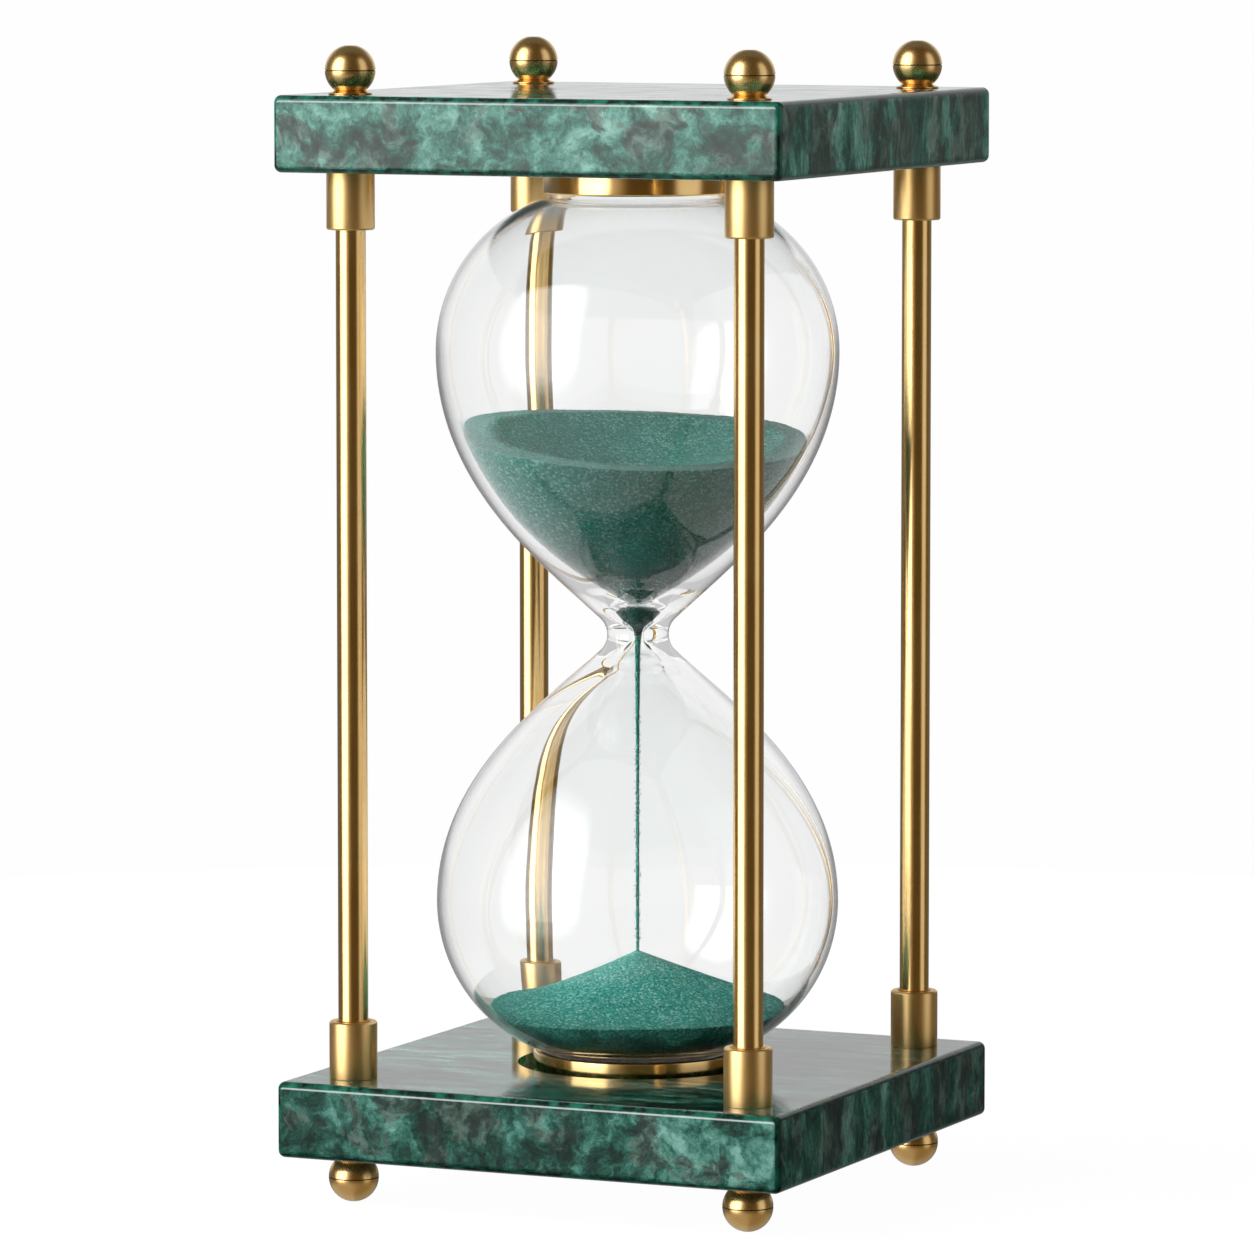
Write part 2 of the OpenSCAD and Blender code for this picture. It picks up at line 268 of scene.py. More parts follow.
def make_light():
    """A studio dome that each kind of ray sees in its own way: the camera a white backdrop, clear
    glass the same a little dimmer, mirrors the lights, and rough surfaces the key lights. What
    mirrors see is the warmer the darker it is, as in a brown room."""
    world = bpy.data.worlds.new("studio")
    bpy.context.scene.world = world
    world.use_nodes = True
    tree = world.node_tree
    tree.nodes.clear()
    across, up = dome_angles(tree)
    away = calc(tree, "ABSOLUTE", across)

    mirrored = mirrored_dome(tree, across, up, away)
    seen_through = calc(tree, "MAXIMUM", mirrored, THROUGH)
    keys = calc(tree, "ADD", softbox(tree, across, up, *HIGH_KEY), softbox(tree, across, up, *LOW_KEY))
    lighting = calc(tree, "ADD", calc(tree, "MULTIPLY", mirrored, FILL), keys)

    rays = add(tree, "ShaderNodeLightPath").outputs
    scattered = calc(tree, "GREATER_THAN", rays["Diffuse Depth"], 0.5)
    clear = calc(tree, "MULTIPLY", rays["Is Transmission Ray"], calc(tree, "SUBTRACT", 1.0, scattered))
    total = mix_value(tree, clear, mirrored, seen_through)
    total = mix_value(tree, scattered, total, lighting)
    total = mix_value(tree, rays["Is Camera Ray"], total, BACKDROP)

    warm = calc(tree, "MULTIPLY", step(tree, total, 0.06, 0.75, 1.0, 0.0), fade(tree, away, 122, 104))
    cold = calc(tree, "MAXIMUM", clear, scattered)
    warm = calc(tree, "MULTIPLY", warm, calc(tree, "SUBTRACT", 1.0, cold))
    colour = mix(tree, warm, (1, 1, 1, 1), WARM)
    shade = add(tree, "ShaderNodeBackground", {"Color": colour, "Strength": total})
    out = add(tree, "ShaderNodeOutputWorld", {"Surface": shade.outputs[0]})
    out.is_active_output = True
    bpy.context.scene.view_settings.view_transform = "Standard"


FLOOR_R = 0.7
# With the little that the floor scatters, these come close to BACKDROP and THROUGH
FLOOR_GLOW = 0.98
FLOOR_THROUGH = 0.917


def make_floor():
    """A plain white light table that runs out of sight into the backdrop. Mirrors see the dome
    instead of it."""
    mesh = bmesh.new()
    bmesh.ops.create_circle(mesh, cap_ends=True, radius=FLOOR_R, segments=96)
    data = bpy.data.meshes.new("floor")
    mesh.to_mesh(data)
    mesh.free()
    floor = bpy.data.objects.new("floor", data)
    bpy.context.scene.collection.objects.link(floor)
    look, tree, shader = new_look("floor")
    shader.inputs["Base Color"].default_value = (0.03, 0.03, 0.03, 1)
    shader.inputs["Specular IOR Level"].default_value = 0
    shader.inputs["Roughness"].default_value = 0.9
    shader.inputs["Emission Color"].default_value = (1, 1, 1, 1)
    rays = add(tree, "ShaderNodeLightPath").outputs
    glow = mix_value(tree, rays["Is Transmission Ray"], FLOOR_GLOW, FLOOR_THROUGH)
    glow = calc(tree, "MULTIPLY", calc(tree, "LESS_THAN", rays["Diffuse Depth"], 0.5), glow)
    tree.links.new(glow, shader.inputs["Emission Strength"])
    data.materials.append(look)
    floor.visible_glossy = False


# ---------------------------------------------------------------- materials


def cloud(tree, at, scale, detail=4.0, rough=0.55, bend=0.0, out="Fac"):
    """One Noise node's result. scale is in features a metre."""
    made = add(
        tree,
        "ShaderNodeTexNoise",
        {"Vector": at, "Scale": scale, "Detail": detail, "Roughness": rough, "Distortion": bend},
    )
    return made.outputs[out]


def swing(tree, value, amount):
    """How far a noise's value lies from its middle, times amount."""
    return calc(tree, "MULTIPLY", calc(tree, "SUBTRACT", value, 0.5), amount)


def stretched(tree, at, scale):
    """Coordinates scaled by a number on each axis."""
    return add(tree, "ShaderNodeMapping", {"Vector": at, "Scale": scale}).outputs[0]


def shifted(tree, at, by):
    """Coordinates moved by a vector or by another node's vector."""
    made = add(tree, "ShaderNodeVectorMath", {0: at, 1: by}, operation="ADD")
    return made.outputs[0]


def warped(tree, at, scale, amount):
    """Coordinates pushed about by a noise, so that what is drawn on them looks feathered."""
    push = add(
        tree, "ShaderNodeVectorMath",
        {0: cloud(tree, at, scale, 3, 0.6, out="Color"), 1: (0.5, 0.5, 0.5)}, operation="SUBTRACT",
    ).outputs[0]
    push = add(tree, "ShaderNodeVectorMath", {0: push, "Scale": amount}, operation="SCALE").outputs[0]
    return shifted(tree, at, push)


def normals(tree):
    """The surface's direction along x, y and z."""
    normal = add(tree, "ShaderNodeNewGeometry").outputs["Normal"]
    return add(tree, "ShaderNodeSeparateXYZ", {0: normal}).outputs


def bump(tree, shader, height, depth, strength=1.0):
    """Bumps of a real depth in metres."""
    made = add(tree, "ShaderNodeBump", {"Strength": strength, "Distance": depth, "Height": height})
    tree.links.new(made.outputs[0], shader.inputs["Normal"])


def veins(tree, at, side, level, pale):
    """The stone's colour, and the noise that its veins follow. The veins are drawn out upwards on
    the side faces and along x on the level ones."""
    drawn = mix(tree, side, at, stretched(tree, at, (1, 0.9, 0.5)))
    drawn = mix(tree, level, drawn, stretched(tree, at, (0.45, 1.5, 1)))
    soft = warped(tree, drawn, 60, 0.011)
    feathered = warped(tree, soft, 380, 0.0030)

    large = cloud(tree, soft, 38, 2, 0.5)
    middle = cloud(tree, feathered, 135, 10, 0.68, 0.4)
    fibre = cloud(tree, warped(tree, drawn, 900, 0.0011), 760, 4, 0.62, 1.2)
    value = calc(tree, "ADD", calc(tree, "MULTIPLY", large, 0.34), calc(tree, "MULTIPLY", middle, 0.66))
    value = calc(tree, "ADD", swing(tree, value, 1.55), 0.5)
    value = calc(tree, "ADD", value, swing(tree, fibre, 0.24))
    value = calc(tree, "ADD", value, 0.05 * pale - 0.025)
    green = ramp(tree, value, [
        (0.34, (0.003, 0.020, 0.014)),
        (0.43, (0.009, 0.058, 0.040)),
        (0.50, (0.024, 0.118, 0.086)),
        (0.56, (0.058, 0.205, 0.158)),
        (0.63, (0.120, 0.315, 0.255)),
        (0.73, (0.240, 0.470, 0.400)),
    ])
    patches = cloud(tree, shifted(tree, feathered, (0.7, 0.2, 0.5)), 70, 9, 0.66, 0.3)
    patches = calc(tree, "ADD", patches, swing(tree, fibre, 0.10))
    patches = calc(tree, "ADD", patches, calc(tree, "MULTIPLY", side, 0.06))
    grey = ramp(tree, middle, [
        (0.36, (0.008, 0.015, 0.012)),
        (0.48, (0.026, 0.046, 0.037)),
        (0.62, (0.115, 0.185, 0.150)),
    ])
    return mix(tree, step(tree, patches, 0.53, 0.59, 0.0, 0.9), green, grey), middle


def paint_edge_shade_and_highlight(tree, at, colour, normal, flat, glow):
    """Adds painted shade to the ground edges, a deep green in dashes for the dark they mirror, and a
    painted highlight line along the front's top ones.
    """
    # Painted shade: the rounded edges turn deep green, dashed by a noise, for the dark they mirror.
    edge = step(tree, flat, 0.965, 0.90)
    dashes = cloud(tree, stretched(tree, at, (1, 1, 0.5)), 260, 4, 0.6)
    painted_edge_shade = ramp(tree, dashes, [
        (0.42, (0.001, 0.010, 0.007)),
        (0.50, (0.003, 0.060, 0.036)),
        (0.66, (0.012, 0.150, 0.095)),
    ])
    colour = mix(tree, calc(tree, "MULTIPLY", edge, 0.92), colour, painted_edge_shade)
    # Painted highlight: a pale line on the front's top edges, as a light mirrored there.
    front = step(tree, normal[1], -0.90, -0.94)
    turned = calc(tree, "MULTIPLY", step(tree, flat, 0.9990, 0.992), step(tree, flat, 0.950, 0.972))
    upper = calc(tree, "MULTIPLY", step(tree, normal[2], 0.04, 0.14), glow)
    painted_highlight_line = calc(tree, "MULTIPLY", calc(tree, "MULTIPLY", front, turned), upper)
    return mix(tree, painted_highlight_line, colour, (0.80, 0.88, 0.84, 1))


def marble(name, shift, pale, shine, glow):
    """Polished green marble. pale is how much mint it has, shine how strongly its sides mirror,
    and glow how bright the painted highlight line along its front's top edges is. The faces to +x
    are painted paler, painted light as if lit from that side."""
    look, tree, shader = new_look(name)
    at = shifted(tree, add(tree, "ShaderNodeTexCoord").outputs["Object"], shift)
    normal = normals(tree)
    n_x, n_y, n_z = [calc(tree, "ABSOLUTE", n) for n in normal]
    flat = calc(tree, "MAXIMUM", calc(tree, "MAXIMUM", n_x, n_y), n_z)
    side = step(tree, n_x, 0.6, 0.8)
    level = step(tree, n_z, 0.6, 0.8)

    colour, vein = veins(tree, at, side, level, pale)
    # Painted light: faces to +x get a brighter copy of the stone's colour, as if lit from that side.
    painted_lit_colour = mix(tree, 1.0, colour, (3.4, 3.1, 3.0, 1), "MULTIPLY")
    painted_light_share = step(tree, normal[0], 0.6, 0.8, 0.0, 0.6)
    colour = mix(tree, painted_light_share, colour, painted_lit_colour)
    colour = paint_edge_shade_and_highlight(tree, at, colour, normal, flat, glow)
    tree.links.new(colour, shader.inputs["Base Color"])

    smear = cloud(tree, stretched(tree, at, (1, 1, 0.4)), 70, 3)
    tree.links.new(step(tree, smear, 0.3, 0.7, 0.05, 0.12), shader.inputs["Roughness"])
    streaks = cloud(tree, stretched(tree, at, (0.3, 1.6, 1)), 150, 7, 0.66, 0.4)
    polish = step(tree, streaks, 0.36, 0.62, 0.43, 0.6)
    tree.links.new(mix_value(tree, level, shine, polish), shader.inputs["Specular IOR Level"])
    shader.inputs["IOR"].default_value = 1.5
    bump(tree, shader, vein, 0.00002, 0.2)
    return look


# Scales of the tool marks on each axis: along a drawn tube, round a turned piece, and on a ball
DRAWN = (1, 1, 0.03)
TURNED = (0.25, 0.25, 3)
POLISHED = (1, 1, 2)


def brass(name, lines, rough):
    """Satin brass with fine tool marks. lines is their scale on each axis, rough how matt it is."""
    look, tree, shader = new_look(name)
    at = add(tree, "ShaderNodeTexCoord").outputs["Object"]
    marks = cloud(tree, stretched(tree, at, lines), 2600, 2, 0.6)
    tone_noise = cloud(tree, at, 60, 3, 0.5)
    colour = ramp(tree, tone_noise, [
        (0.3, (0.82, 0.545, 0.225)),
        (0.55, (0.85, 0.580, 0.250)),
        (0.8, (0.87, 0.605, 0.275)),
    ])
    tree.links.new(colour, shader.inputs["Base Color"])
    shader.inputs["Metallic"].default_value = 1.0
    blur = calc(tree, "ADD", step(tree, marks, 0.3, 0.7, rough - 0.025, rough + 0.025),
                step(tree, tone_noise, 0.35, 0.75, -0.01, 0.01))
    tree.links.new(blur, shader.inputs["Roughness"])
    bump(tree, shader, marks, 0.0000025, 0.5)
    return look


def seam_shade():
    """Painted shade in the seam of a ball: a dark brass where the groove falls into shade."""
    look, tree, shader = new_look("brass.groove")
    at = add(tree, "ShaderNodeTexCoord").outputs["Object"]
    tone_noise = cloud(tree, at, 700, 3, 0.6)
    # Painted shade: dark brass for the groove of the seam, where shade falls.
    colour = ramp(tree, tone_noise, [(0.3, (0.05, 0.028, 0.010)), (0.7, (0.13, 0.078, 0.030))])
    tree.links.new(colour, shader.inputs["Base Color"])
    shader.inputs["Metallic"].default_value = 0.6
    shader.inputs["Roughness"].default_value = 0.55
    return look


def steel():
    """Zinc-bright steel of the tie rods."""
    look, tree, shader = new_look("steel")
    at = add(tree, "ShaderNodeTexCoord").outputs["Object"]
    tone_noise = cloud(tree, at, 300, 4, 0.6)
    colour = ramp(tree, tone_noise, [(0.3, (0.42, 0.42, 0.43)), (0.7, (0.62, 0.62, 0.64))])
    tree.links.new(colour, shader.inputs["Base Color"])
    shader.inputs["Metallic"].default_value = 1.0
    tree.links.new(step(tree, tone_noise, 0.3, 0.7, 0.22, 0.38), shader.inputs["Roughness"])
    bump(tree, shader, cloud(tree, stretched(tree, at, (1, 1, 6)), 1500), 0.00001, 0.4)
    return look


CLEAR = (0.985, 0.992, 0.988)
# Painted light: how bright the glass glows where light is trapped, and after how many bounces.
TRAPPED_GLOW = 0.3
TRAPPED_AFTER = 3.5


def clear_glass(name, rim):
    """Clear borosilicate glass with a faint waviness. rim is how much of the light it keeps where
    it is seen edge on: its colour there is painted darker, painted shade for the dark outline of its
    edges. Light that goes on bouncing inside the thick waist comes out grey: after more than
    TRAPPED_AFTER bounces the glass glows, painted light of its own."""
    look, tree, shader = new_look(name)
    at = add(tree, "ShaderNodeTexCoord").outputs["Object"]
    facing = add(tree, "ShaderNodeLayerWeight", {"Blend": 0.5}).outputs["Facing"]
    glass_edge_shade = (rim,) * 3
    half = ((1 + rim) / 2,) * 3
    # Painted shade: the glass's colour darkens where it is seen edge on.
    glass_edge_tint = ramp(tree, facing, [
        (0.66, CLEAR),
        (0.75, half),
        (0.82, glass_edge_shade),
        (0.89, glass_edge_shade),
        (0.98, (0.9, 0.9, 0.9)),
    ])
    tree.links.new(glass_edge_tint, shader.inputs["Base Color"])
    shader.inputs["Roughness"].default_value = 0.0
    shader.inputs["IOR"].default_value = 1.47
    shader.inputs["Transmission Weight"].default_value = 1.0
    # Painted light: the glass glows grey after more than TRAPPED_AFTER glossy bounces.
    bounces = add(tree, "ShaderNodeLightPath").outputs["Glossy Depth"]
    painted_glow_mask = calc(tree, "GREATER_THAN", bounces, TRAPPED_AFTER)
    shader.inputs["Emission Color"].default_value = (1, 1, 1, 1)
    tree.links.new(calc(tree, "MULTIPLY", painted_glow_mask, TRAPPED_GLOW), shader.inputs["Emission Strength"])
    bump(tree, shader, cloud(tree, stretched(tree, at, (1, 1, 0.5)), 45, 2, 0.5), 0.00006, 0.6)
    return look


def sand(name, deep_from=0.0, deep_to=0.0, lit_rim_r=0.0):
    """Teal sand: every grain has its own shade, and some glint. It darkens from one height down
    to another, where less light gets in, and its upward faces outside lit_rim_r are painted paler,
    painted light where the rim's top catches the light."""
    look, tree, shader = new_look(name)
    at = add(tree, "ShaderNodeTexCoord").outputs["Object"]
    grains = add(tree, "ShaderNodeTexVoronoi", {"Vector": at, "Scale": 1750.0, "Randomness": 1.0})
    each = add(tree, "ShaderNodeSeparateColor", {0: grains.outputs["Color"]})
    colour = ramp(tree, each.outputs[0], [
        (0.0, (0.020, 0.300, 0.235)),
        (0.35, (0.045, 0.420, 0.345)),
        (0.75, (0.110, 0.560, 0.480)),
        (1.0, (0.400, 0.860, 0.800)),
    ])
    drift = cloud(tree, at, 90, 5, 0.6)
    shade = ramp(tree, drift, [(0.32, (0.74, 0.82, 0.80)), (0.62, (1.0, 1.0, 1.0))])
    colour = mix(tree, 1.0, colour, shade, "MULTIPLY")
    x, y, z = add(tree, "ShaderNodeSeparateXYZ", {0: at}).outputs
    if deep_from > deep_to:
        wavy = calc(tree, "ADD", z, swing(tree, drift, 12 * MM))
        depth = step(tree, wavy, deep_from, deep_to, 0.0, 0.86)
        colour = mix(tree, depth, colour, (0.004, 0.055, 0.040, 1))
    # Painted light: the rim's upward faces outside the rim radius get a paler colour, where the top catches
    # light.
    if lit_rim_r:
        squares = [calc(tree, "POWER", side, 2.0) for side in (x, y)]
        r = calc(tree, "SQRT", calc(tree, "ADD", *squares))
        level = step(tree, normals(tree)[2], 0.3, 0.7, 0.0, 0.5)
        painted_rim_light = calc(tree, "MULTIPLY", step(tree, r, lit_rim_r, lit_rim_r + 4 * MM), level)
        colour = mix(tree, painted_rim_light, colour, (0.42, 0.80, 0.73, 1))
    tree.links.new(colour, shader.inputs["Base Color"])
    tree.links.new(step(tree, each.outputs[1], 0.80, 0.9, 0.8, 0.2), shader.inputs["Roughness"])
    shader.inputs["Specular IOR Level"].default_value = 0.35
    bump(tree, shader, calc(tree, "SUBTRACT", 1.0, grains.outputs["Distance"]), 0.00022, 0.8)
    return look


def cork():
    """Pressed cork of the pads under and over the glass."""
    look, tree, shader = new_look("cork")
    at = add(tree, "ShaderNodeTexCoord").outputs["Object"]
    chips = add(tree, "ShaderNodeTexVoronoi", {"Vector": warped(tree, at, 600, 0.001), "Scale": 650.0})
    each = add(tree, "ShaderNodeSeparateColor", {0: chips.outputs["Color"]})
    colour = ramp(tree, each.outputs[0], [
        (0.0, (0.10, 0.045, 0.018)),
        (0.3, (0.33, 0.19, 0.09)),
        (1.0, (0.52, 0.34, 0.18)),
    ])
    tree.links.new(colour, shader.inputs["Base Color"])
    shader.inputs["Roughness"].default_value = 0.85
    bump(tree, shader, chips.outputs["Distance"], 0.0002, 0.6)
    return look


def rubber():
    """Dark rubber of the filler hole's stopper."""
    look, tree, shader = new_look("rubber")
    at = add(tree, "ShaderNodeTexCoord").outputs["Object"]
    dust = cloud(tree, at, 900, 4, 0.6)
    colour = ramp(tree, dust, [(0.35, (0.012, 0.012, 0.013)), (0.75, (0.05, 0.05, 0.052))])
    tree.links.new(colour, shader.inputs["Base Color"])
    tree.links.new(step(tree, dust, 0.3, 0.7, 0.5, 0.75), shader.inputs["Roughness"])
    bump(tree, shader, dust, 0.00004, 0.5)
    return look


# ---------------------------------------------------------------- mesh helpers


def arc(centre, r, start, end, count):
    """Points along an arc, with angles in radians."""
    turns = [start + (end - start) * i / count for i in range(count + 1)]
    return [(centre[0] + r * math.cos(a), centre[1] + r * math.sin(a)) for a in turns]


def finish_mesh(name, mesh, look, sharp=35):
    """Makes a piece from bmesh data, smooth except at corners of more than sharp degrees."""
    bmesh.ops.recalc_face_normals(mesh, faces=mesh.faces)
    data = bpy.data.meshes.new(name)
    mesh.to_mesh(data)
    mesh.free()
    for face in data.polygons:
        face.use_smooth = True
    data.set_sharp_from_angle(angle=math.radians(sharp))
    data.materials.append(look)
    piece = bpy.data.objects.new(name, data)
    bpy.context.scene.collection.objects.link(piece)
    return piece


ON_AXIS = 1e-7


def lathe(name, outline, look, at=(0, 0), count=96, closed=True, nudge=None, sharp=35):
    """Turns an outline of (radius, height) points about a vertical axis. Radius 0 is a pole, and
    nudge moves a point, given as radius, height and turn."""
    mesh = bmesh.new()
    rings = []
    for r, z in outline:
        if r < ON_AXIS:
            rings.append([mesh.verts.new((at[0], at[1], z))])
            continue
        ring = []
        for i in range(count):
            a = 2 * math.pi * i / count
            rr, zz = nudge(r, z, a) if nudge else (r, z)
            ring.append(mesh.verts.new((at[0] + rr * math.cos(a), at[1] + rr * math.sin(a), zz)))
        rings.append(ring)
    pairs = list(zip(rings, rings[1:]))
    if closed and len(rings[0]) > 1 and len(rings[-1]) > 1:
        pairs.append((rings[-1], rings[0]))
    for low, high in pairs:
        for i in range(count):
            j = (i + 1) % count
            if len(low) == 1 and len(high) == 1:
                break
            if len(low) == 1:
                mesh.faces.new((low[0], high[j], high[i]))
            elif len(high) == 1:
                mesh.faces.new((low[i], low[j], high[0]))
            else:
                mesh.faces.new((low[i], low[j], high[j], high[i]))
    return finish_mesh(name, mesh, look, sharp)


def rounded(points, r, count=4):
    """An outline with each corner rounded to about radius r."""
    made = []
    total = len(points)
    for i, (x, y) in enumerate(points):
        here = Vector((x, y))
        before = Vector(points[i - 1]) - here
        after = Vector(points[(i + 1) % total]) - here
        if x < ON_AXIS or before.length < 1e-9 or after.length < 1e-9:
            made.append((x, y))
            continue
        cut = min(r, before.length * 0.45, after.length * 0.45)
        a, b = here + before.normalized() * cut, here + after.normalized() * cut
        for k in range(count + 1):
            t = k / count
            p = a * (1 - t) ** 2 + here * 2 * t * (1 - t) + b * t * t
            made.append((p.x, p.y))
    return made


def dress(piece, node, body):
    """Puts a piece in a CAD node's place."""
    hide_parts(node)
    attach(piece, body)


# ---------------------------------------------------------------- stand


def corner(name):
    """A corner's place on the floor."""
    x, y = CORNERS[name]
    return x * POST_AT, y * POST_AT


def make_posts(look):
    """Four brass tubes with bevelled ends, in short rings along their length."""
    bevel = 0.3 * MM
    rings = 40
    for name in CORNERS:
        node = "post_" + name
        low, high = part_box(node)
        r = radius(node)
        run = high.z - low.z - 2 * bevel
        heights = [low.z + bevel + run * i / rings for i in range(rings + 1)]
        outline = [(POST_BORE_R, low.z), (r - bevel, low.z)]
        outline += [(r, z) for z in heights]
        outline += [(r - bevel, high.z), (POST_BORE_R, high.z)]
        piece = lathe(node + ".tube", outline, look, corner(name), 128)
        dress(piece, node, "stand")


def make_sleeves(look):
    """Eight brass cups, each with its mouth towards the middle of its post."""
    floor = 3 * MM
    clearance = 0.6 * MM
    bevel = 0.4 * MM
    for name in CORNERS:
        for node, turn in (("lower_sleeve_" + name, 1), ("upper_sleeve_" + name, -1)):
            low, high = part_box(node)
            start = low.z if turn > 0 else high.z
            h = high.z - low.z
            r = radius(node)
            in_r = radius("post_" + name) + clearance
            outline = rounded([
                (TIE_HOLE_R, 0), (r, 0), (r, h - bevel), (r - bevel, h),
                (in_r + bevel, h), (in_r, h - bevel), (in_r, floor), (TIE_HOLE_R, floor),
            ], 0.12 * MM, 3)
            outline = [(x, start + turn * z) for x, z in outline]
            piece = lathe(node + ".cup", outline, look, corner(name), 144)
            dress(piece, node, "stand")


BALL_SEAT = 5.5 * MM
BALL_HOLE = 8 * MM
SPIGOT_R = 2.95 * MM
SPIGOT_H = 0.8 * MM
SEAM_W = 0.3 * MM
SEAM_D = 0.25 * MM
BALL_BORE_R = 2.05 * MM
COLLAR_RIM = 0.4 * MM
COLLAR_TOP_R = 4.27 * MM
# Inset of a collar's cone from its rim, and how far the cone swells between its ends
COLLAR_STEP = 0.12 * MM
COLLAR_BOW = 0.22
SEAT_GAP = 0.02 * MM


def ball_outline(r, tip):
    """A ball nut with its seat at height 0 and its ground flat up, at height tip."""
    at = (0, BALL_SEAT)
    flat = math.asin((tip - BALL_SEAT) / r)
    low = math.asin(-BALL_SEAT / r)
    seam = math.asin(SEAM_W / 2 / r)
    return [
        (0, BALL_HOLE), (BALL_BORE_R, BALL_HOLE), (BALL_BORE_R, -SPIGOT_H),
        (SPIGOT_R, -SPIGOT_H), (SPIGOT_R, 0),
        *arc(at, r, low, -seam, 26),
        (r - SEAM_D, BALL_SEAT - SEAM_W * 0.3), (r - SEAM_D, BALL_SEAT + SEAM_W * 0.3),
        *arc(at, r, seam, flat, 40),
        (0, tip),
    ]


def collar_outline(rim_r, h):
    """A collar with its rim at height 0, whose cone leans in to just under the ball's seat."""
    h -= SEAT_GAP
    bore = SPIGOT_R + 0.05 * MM
    bevel = 0.1 * MM
    foot_r = rim_r - COLLAR_STEP
    rings = 8
    cone = []
    for i in range(rings + 1):
        t = i / rings
        r = foot_r + (COLLAR_TOP_R - foot_r) * (t + COLLAR_BOW * t * (1 - t))
        cone.append((r, COLLAR_RIM + (h - COLLAR_RIM) * t))
    return [
        (bore, 0), (rim_r - bevel, 0), (rim_r, bevel), (rim_r, COLLAR_RIM - bevel),
        *cone, (bore, h),
    ]


def paint_seam_shade(piece, seam, at, r, seam_z):
    """Gives the faces at the bottom of a ball's seam their own material, the painted seam shade."""
    piece.data.materials.append(seam)
    for face in piece.data.polygons:
        middle = face.center
        out = math.hypot(middle.x - at[0], middle.y - at[1])
        if abs(middle.z - seam_z) < SEAM_W * 0.5 and r * 0.8 < out < r - SEAM_D * 0.4:
            face.material_index = 1


def make_balls(look, seam):
    """Ball feet under the base and ball finials on top, with the finials' collars."""
    for name in CORNERS:
        at = corner(name)
        balls = (("foot_ball_" + name, "stand", -1), ("finial_ball_" + name, "ball_" + name, 1))
        for node, body, turn in balls:
            low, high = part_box(node)
            r = radius(node)
            seat = (low.z + SPIGOT_H) if turn > 0 else (high.z - SPIGOT_H)
            tip = abs((high.z if turn > 0 else low.z) - seat)
            outline = [(p, seat + turn * q) for p, q in ball_outline(r, tip)]
            piece = lathe(node + ".nut", outline, look, at, 128, closed=False)
            paint_seam_shade(piece, seam, at, r, seat + turn * BALL_SEAT)
            dress(piece, node, body)
        node = "finial_collar_" + name
        low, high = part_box(node)
        outline = [(p, low.z + q) for p, q in collar_outline(radius(node), high.z - low.z)]
        dress(lathe(node + ".cove", outline, look, at, 128), node, "collar_" + name)


def make_foot_collars(look):
    """The four collars under the base are one node and one piece."""
    low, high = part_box("foot_collars")
    rim_r = high.x - POST_AT
    made = []
    for name in CORNERS:
        outline = [(p, high.z - q) for p, q in collar_outline(rim_r, high.z - low.z)]
        made.append(lathe("foot_collars." + name, outline, look, corner(name), 128))
    keep = made[0]
    with bpy.context.temp_override(active_object=keep, selected_editable_objects=made):
        bpy.ops.object.join()
    keep.name = "foot_collars.coves"
    dress(keep, "foot_collars", "stand")


THREAD_PITCH = 0.7 * MM
THREAD_D = 0.4 * MM
THREAD_LENGTH = 13 * MM


def make_tie_rods(look):
    """Steel rods with a real thread at both ends."""
    bevel = 0.5 * MM
    rings_per_turn = 10
    rows = int(THREAD_LENGTH / THREAD_PITCH * rings_per_turn)
    for name in CORNERS:
        node = "tie_rod_" + name
        low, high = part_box(node)
        r = radius(node)
        lower = [low.z + bevel + THREAD_LENGTH * i / rows for i in range(rows + 1)]
        upper = [high.z - bevel - THREAD_LENGTH * (1 - i / rows) for i in range(rows + 1)]
        outline = [(0, low.z), (r - bevel, low.z)] + [(r, z) for z in lower]
        outline += [(r, z) for z in upper] + [(r - bevel, high.z), (0, high.z)]

        def cut(p, z, a, low_z=lower[-1], high_z=upper[0]):
            """Presses the thread in, fading out where the plain shank starts."""
            if p < r or low_z < z < high_z:
                return p, z
            turn = (z / THREAD_PITCH - a / (2 * math.pi)) % 1
            crest = min(abs(turn - 0.5) * 2.6, 1)
            run_in = min(1, abs(z - (low_z if z <= low_z else high_z)) / THREAD_PITCH)
            return p - THREAD_D * (1 - crest) * run_in, z

        at = corner(name)
        piece = lathe(node + ".threaded", outline, look, at, 40, closed=False, nudge=cut, sharp=50)
        dress(piece, node, "stand")


def make_rings(look):
    """The two brass rings that locate the glass."""
    for node, turn, wall in (("lower_ring", 1, 2 * MM), ("upper_ring", -1, 1.8 * MM)):
        low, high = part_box(node)
        start = low.z if turn > 0 else high.z
        r, h = radius(node), high.z - low.z
        bevel = 0.8 * MM
        outline = rounded([
            (r - wall, 0), (r, 0), (r, h - bevel / 2), (r - bevel / 2, h),
            (r - wall + bevel, h), (r - wall, h - bevel),
        ], 0.15 * MM, 3)
        outline = [(x, start + turn * z) for x, z in outline]
        dress(lathe(node + ".band", outline, look, (0, 0), 256), node, "stand")


